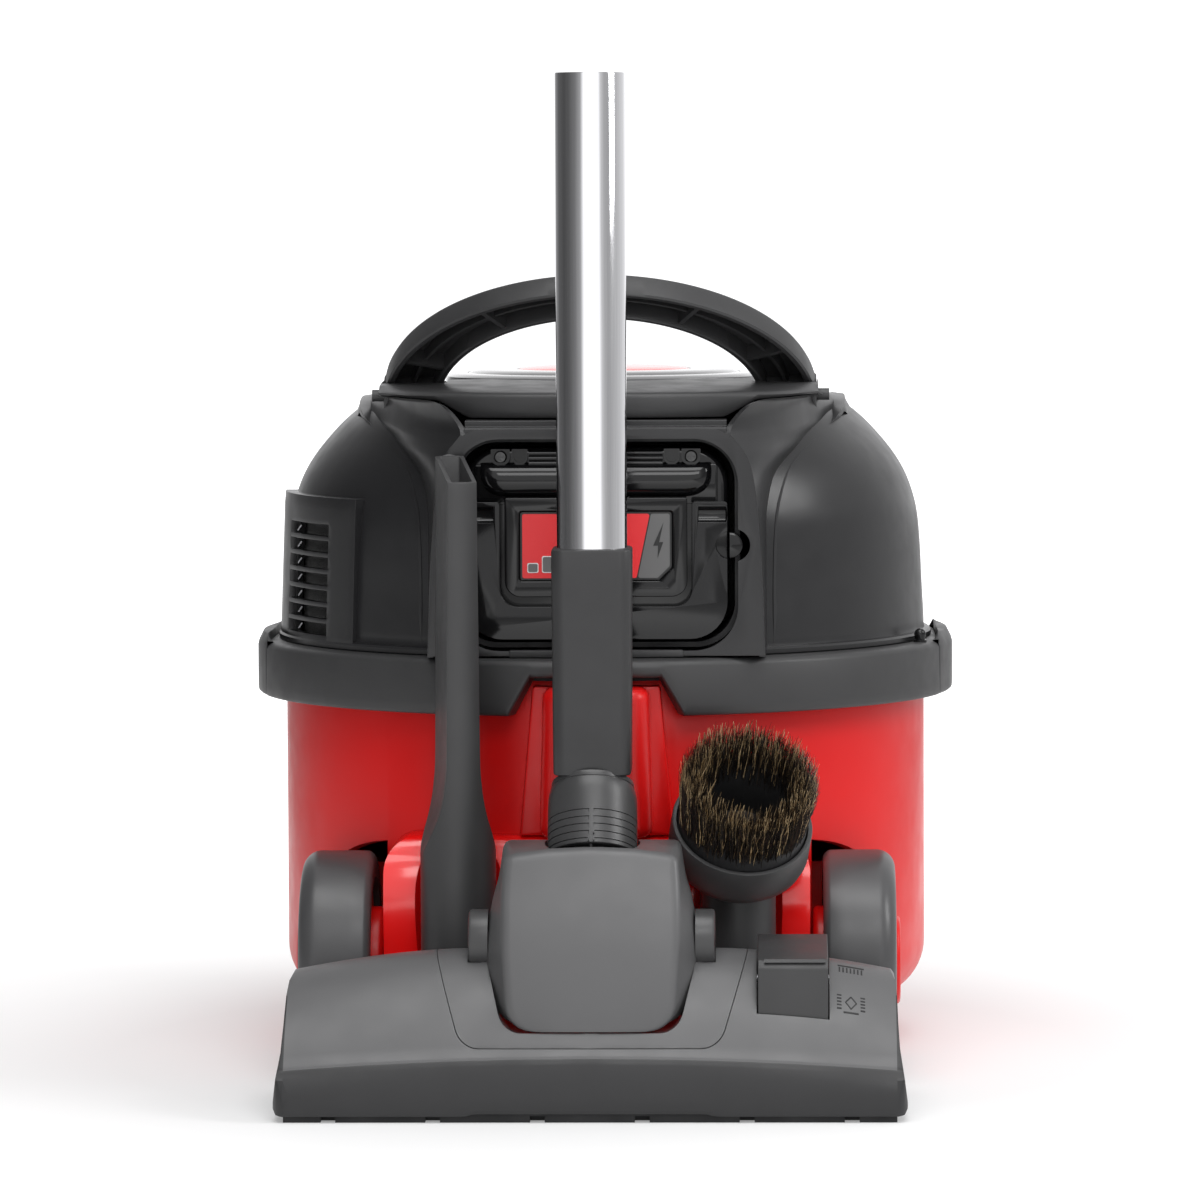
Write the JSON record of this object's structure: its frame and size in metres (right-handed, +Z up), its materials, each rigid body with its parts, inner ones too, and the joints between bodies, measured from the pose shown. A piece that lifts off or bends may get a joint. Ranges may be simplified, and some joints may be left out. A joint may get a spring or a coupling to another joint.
{
  "type": "tub vacuum cleaner",
  "caption": "Cordless tub vacuum cleaner with a black motor head on a red tub, parked wand and floor head, and stowed crevice tool and dusting brush.",
  "frame": {"origin": "centre of the footprint's bounding box, on the floor", "axes": "+Z up; +Y the front, where the hose plugs in; the wand, floor head and tools park on the -Y side; +X the machine's width"},
  "size_m": [0.36, 0.494, 0.495],
  "materials": {
    "red_plastic": "gloss moulded",
    "black_plastic": "satin moulded",
    "gloss_black": "gloss moulded",
    "grey_plastic": "fine-grained moulded",
    "dark_plastic": "fine-grained moulded",
    "gloss_grey": "gloss moulded",
    "steel": "plain",
    "wand_chrome": "polished tube",
    "alloy": "cast",
    "tyre_rubber": "moulded",
    "rubber_seal": "plain",
    "filter_felt": "felt",
    "cell_wrap": "shrink wrap",
    "label_print": "printed",
    "board_green": "laminate",
    "bristle_black": "nylon",
    "bristle_brown": "natural hair"
  },
  "bodies": {
    "tub": {"drum_shell": "red_plastic", "dock_column": "red_plastic", "tail_block": "red_plastic", "tool_posts": "dark_plastic", "rim_seal": "rubber_seal", "stub_axles": "steel"},
    "rear_wheel_left": {"tyre_left": "tyre_rubber", "hub_left": "red_plastic"},
    "rear_wheel_right": {"tyre_right": "tyre_rubber", "hub_right": "red_plastic"},
    "castor_left": {"castor_fork_left": "dark_plastic"},
    "castor_right": {"castor_fork_right": "dark_plastic"},
    "castor_roller_left": {"castor_wheel_left": "grey_plastic"},
    "castor_roller_right": {"castor_wheel_right": "grey_plastic"},
    "motor_head": {"rim_band": "grey_plastic", "rim_stud": "gloss_black", "latch_pins": "steel", "dome_cover": "black_plastic", "bay_surround": "black_plastic", "bay_box": "black_plastic", "battery_pack": "gloss_black", "battery_cells": "cell_wrap", "battery_label": "label_print", "bay_screws": "steel", "top_bridge": "grey_plastic", "handle_pins": "steel", "lid_cover": "grey_plastic", "lid_ring": "gloss_grey", "lid_disc": "red_plastic", "louvre_panel": "black_plastic", "exhaust_filter": "filter_felt", "hose_inlet": "dark_plastic", "motor_deck": "dark_plastic", "motor_housing": "grey_plastic", "control_board": "board_green", "filter_frame": "dark_plastic", "filter_cone": "filter_felt"},
    "handle": {"carry_handle": "grey_plastic"},
    "latch_l": {"latch_left": "grey_plastic"},
    "latch_r": {"latch_right": "grey_plastic"},
    "button": {"power_button": "red_plastic"},
    "catch": {"battery_catch": "gloss_black"},
    "rotor": {"motor_rotor": "steel", "fan_wheel": "alloy"},
    "wand": {"wand_tube": "wand_chrome", "wand_sleeve": "dark_plastic", "swivel_cuff": "grey_plastic"},
    "neck": {"neck_hood": "grey_plastic", "neck_tube": "black_plastic"},
    "floor_head": {"pivot_bosses": "grey_plastic", "head_shell": "grey_plastic", "insert_panel": "grey_plastic", "sole_plate": "black_plastic", "pedal_pin": "steel"},
    "pedal": {"rocker_pedal": "dark_plastic"},
    "strips": {"brush_strips": "bristle_black"},
    "rollers": {"sole_rollers": "grey_plastic"},
    "crevice": {"crevice_tool": "dark_plastic"},
    "dusting_brush": {"brush_body": "dark_plastic", "bristle_ring": "bristle_brown"}
  },
  "joints": [
    {"name": "left_wheel_spin", "type": "hinge", "parent": "tub", "child": "rear_wheel_left", "pos_m": [-0.1295, -0.068, 0.055], "axis": [1, 0, 0], "continuous": true},
    {"name": "right_wheel_spin", "type": "hinge", "parent": "tub", "child": "rear_wheel_right", "pos_m": [0.1295, -0.068, 0.055], "axis": [1, 0, 0], "continuous": true},
    {"name": "left_castor_swivel", "type": "hinge", "parent": "tub", "child": "castor_left", "pos_m": [-0.069, 0.15, 0.045], "axis": [0, 0, 1], "continuous": true},
    {"name": "right_castor_swivel", "type": "hinge", "parent": "tub", "child": "castor_right", "pos_m": [0.069, 0.15, 0.045], "axis": [0, 0, 1], "continuous": true},
    {"name": "left_castor_roll", "type": "hinge", "parent": "castor_left", "child": "castor_roller_left", "pos_m": [-0.069, 0.14, 0.016], "axis": [1, 0, 0], "continuous": true},
    {"name": "right_castor_roll", "type": "hinge", "parent": "castor_right", "child": "castor_roller_right", "pos_m": [0.069, 0.14, 0.016], "axis": [1, 0, 0], "continuous": true},
    {"name": "head_lift", "type": "slide", "parent": "tub", "child": "motor_head", "axis": [0, 0, 1], "range_m": [0, 0.15]},
    {"name": "handle_fold", "type": "hinge", "parent": "motor_head", "child": "handle", "pos_m": [0, 0, 0.335], "axis": [-1, 0, 0], "range_deg": [0, 50]},
    {"name": "left_latch_flip", "type": "hinge", "parent": "motor_head", "child": "latch_l", "pos_m": [-0.1758, 0.067, 0.185], "axis": [0, -1, 0], "range_deg": [0, 50]},
    {"name": "right_latch_flip", "type": "hinge", "parent": "motor_head", "child": "latch_r", "pos_m": [0.1758, 0.067, 0.185], "axis": [0, 1, 0], "range_deg": [0, 50]},
    {"name": "power_press", "type": "slide", "parent": "motor_head", "child": "button", "axis": [0, 0, -1], "range_m": [0, 0.0015], "stiffness_N_per_m": 800, "springref_m": -0.0005},
    {"name": "battery_catch_press", "type": "slide", "parent": "motor_head", "child": "catch", "axis": [-1, 0, 0], "range_m": [0, 0.002], "stiffness_N_per_m": 600, "springref_m": -0.0005},
    {"name": "motor_spin", "type": "hinge", "parent": "motor_head", "child": "rotor", "pos_m": [0, 0.067, 0.26], "axis": [0, 0, 1], "continuous": true},
    {"name": "wand_undock", "type": "slide", "parent": "tub", "child": "wand", "axis": [0, 0, 1], "range_m": [0, 0.012]},
    {"name": "neck_swivel", "type": "hinge", "parent": "wand", "child": "neck", "pos_m": [0, -0.163, 0.158], "axis": [0, 0.4384, 0.8988], "range_deg": [-5, 5]},
    {"name": "head_tilt", "type": "hinge", "parent": "neck", "child": "floor_head", "pos_m": [0, -0.191, 0.08], "axis": [-1, 0, 0], "range_deg": [-6, 15]},
    {"name": "brush_strip_lift", "type": "slide", "parent": "floor_head", "child": "strips", "axis": [0, 0, 1], "range_m": [0, 0.004]},
    {"name": "pedal_rock", "type": "hinge", "parent": "floor_head", "child": "pedal", "pos_m": [0.096, -0.195, 0.062], "axis": [-1, 0, 0], "range_deg": [0, 7]},
    {"name": "sole_roller_spin", "type": "hinge", "parent": "floor_head", "child": "rollers", "pos_m": [0, -0.197, 0.0075], "axis": [1, 0, 0], "continuous": true},
    {"name": "crevice_tool_pull", "type": "slide", "parent": "tub", "child": "crevice", "axis": [0, 0, 1], "range_m": [0, 0.05]},
    {"name": "dusting_brush_pull", "type": "slide", "parent": "tub", "child": "dusting_brush", "axis": [0, 0, 1], "range_m": [0, 0.045]}
  ],
  "couplings": [
    {"joint": "pedal_rock", "follows": "brush_strip_lift", "rad_per_m": 30.523}
  ]
}
